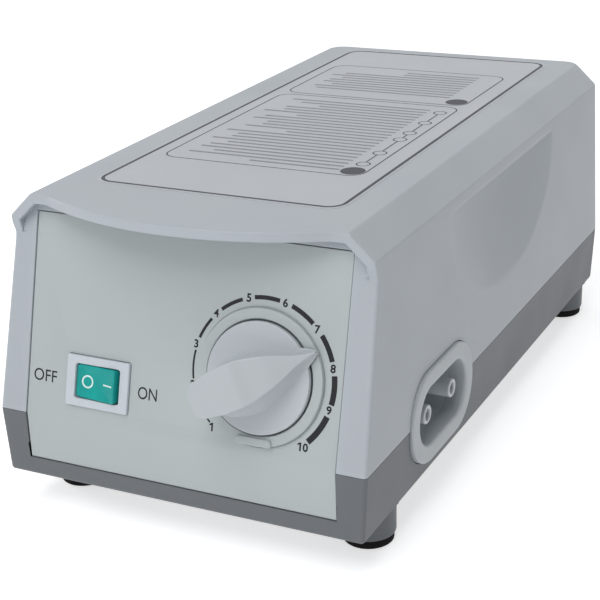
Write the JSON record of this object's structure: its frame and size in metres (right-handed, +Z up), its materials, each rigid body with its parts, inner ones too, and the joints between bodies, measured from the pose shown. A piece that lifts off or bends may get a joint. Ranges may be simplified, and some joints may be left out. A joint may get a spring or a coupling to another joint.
{
  "type": "alternating pressure mattress pump",
  "caption": "Small bedside air pump with a leaning front panel, pressure dial knob, rocker switch, side air port with two spouts, rubber feet and rear hooks that swing out",
  "frame": {"origin": "middle of the bounding box at the height of the feet", "axes": "+Z up, the front panel faces -Y, the air port is on +X"},
  "size_m": [0.12, 0.2454, 0.097],
  "materials": {
    "upper_shell": "fine satin",
    "lower_shell": "fine satin",
    "panel": "fine satin",
    "label": "satin film",
    "rim": "satin",
    "recess": "satin",
    "foot_rubber": "matt",
    "steel": "plated",
    "hook_plastic": "satin",
    "knob": "satin",
    "bezel": "semi-gloss",
    "rocker": "translucent teal",
    "brass_plate": "plain",
    "black_plastic": "matt",
    "board": "lacquered",
    "fuse_glass": "clear with plated caps",
    "wire": "insulation",
    "plate": "plain",
    "iron": "laminated, lacquered",
    "copper": "enamelled wire",
    "inner_plastic": "moulded",
    "rotor_plastic": "moulded",
    "hose": "soft, milky"
  },
  "bodies": {
    "housing": {"upper_housing": "upper_shell", "lower_housing": "lower_shell", "front_panel": "panel", "top_label": "label", "port_bezel": "rim", "port_cup": "recess", "nozzle_front": "recess", "nozzle_rear": "recess", "foot_front_left": "foot_rubber", "foot_front_right": "foot_rubber", "foot_rear_left": "foot_rubber", "foot_rear_right": "foot_rubber", "housing_screws": "steel", "hanger_bracket_left": "hook_plastic", "hanger_bracket_right": "hook_plastic", "hanger_pins": "steel", "regulator_body": "inner_plastic", "regulator_nut": "brass_plate", "rocker_frame": "bezel", "switch_terminals": "brass_plate", "inlet_body": "black_plastic", "inlet_pins": "brass_plate", "terminal_board": "board", "fuse": "fuse_glass", "wiring": "wire", "pump_frame": "plate", "isolator_front_left": "foot_rubber", "isolator_front_right": "foot_rubber", "isolator_rear_left": "foot_rubber", "isolator_rear_right": "foot_rubber", "laminated_core": "iron", "coil_bobbin": "inner_plastic", "coil_winding": "copper", "arm_pivot_pins": "steel", "diaphragm_left": "foot_rubber", "diaphragm_right": "foot_rubber", "pump_head_left": "inner_plastic", "pump_head_right": "inner_plastic", "valve_cover_left": "inner_plastic", "valve_cover_right": "inner_plastic", "timer_motor": "iron", "distributor_base": "inner_plastic", "distributor_cover": "inner_plastic", "distributor_spring": "steel", "hose_pump_left": "hose", "hose_pump_right": "hose", "hose_regulator": "hose", "hose_outlet_front": "hose", "hose_outlet_rear": "hose"},
    "knob": {"control_knob": "knob", "regulator_spindle": "steel"},
    "rocker": {"rocker_button": "rocker"},
    "hook_left": {"hanger_left": "hook_plastic"},
    "hook_right": {"hanger_right": "hook_plastic"},
    "arm_left": {"swing_arm_left": "inner_plastic", "arm_magnet_left": "iron"},
    "arm_right": {"swing_arm_right": "inner_plastic", "arm_magnet_right": "iron"},
    "valve_rotor": {"distributor_rotor": "rotor_plastic"}
  },
  "joints": [
    {"name": "knob_turn", "type": "hinge", "parent": "housing", "child": "knob", "pos_m": [0.0254, -0.10571, 0.05465], "axis": [0, -0.9646, 0.2639], "range_deg": [-75, 195]},
    {"name": "rocker_tip", "type": "hinge", "parent": "housing", "child": "rocker", "pos_m": [-0.0265, -0.10642, 0.04448], "axis": [0, 0.2639, 0.9646], "range_deg": [0, 16]},
    {"name": "hook_left_swing", "type": "hinge", "parent": "housing", "child": "hook_left", "pos_m": [-0.0478, 0.11802, 0.07315], "axis": [0, -0.0308, 0.9995], "range_deg": [0, 90]},
    {"name": "hook_right_swing", "type": "hinge", "parent": "housing", "child": "hook_right", "pos_m": [0.047, 0.11802, 0.07315], "axis": [0, -0.0308, 0.9995], "range_deg": [-90, 0]},
    {"name": "arm_left_swing", "type": "hinge", "parent": "housing", "child": "arm_left", "pos_m": [-0.0268, 0.06785, 0.04495], "axis": [0, 0, 1], "range_deg": [-2.5, 2.5], "stiffness_Nm_per_rad": 0.3},
    {"name": "arm_right_swing", "type": "hinge", "parent": "housing", "child": "arm_right", "pos_m": [0.026, 0.06785, 0.04495], "axis": [0, 0, 1], "range_deg": [-2.5, 2.5], "stiffness_Nm_per_rad": 0.3},
    {"name": "valve_disc_spin", "type": "hinge", "parent": "housing", "child": "valve_rotor", "pos_m": [-0.0248, -0.03615, 0.04475], "axis": [0, 0, 1], "continuous": true}
  ],
  "couplings": [
    {"joint": "arm_right_swing", "follows": "arm_left_swing", "ratio": -1}
  ]
}
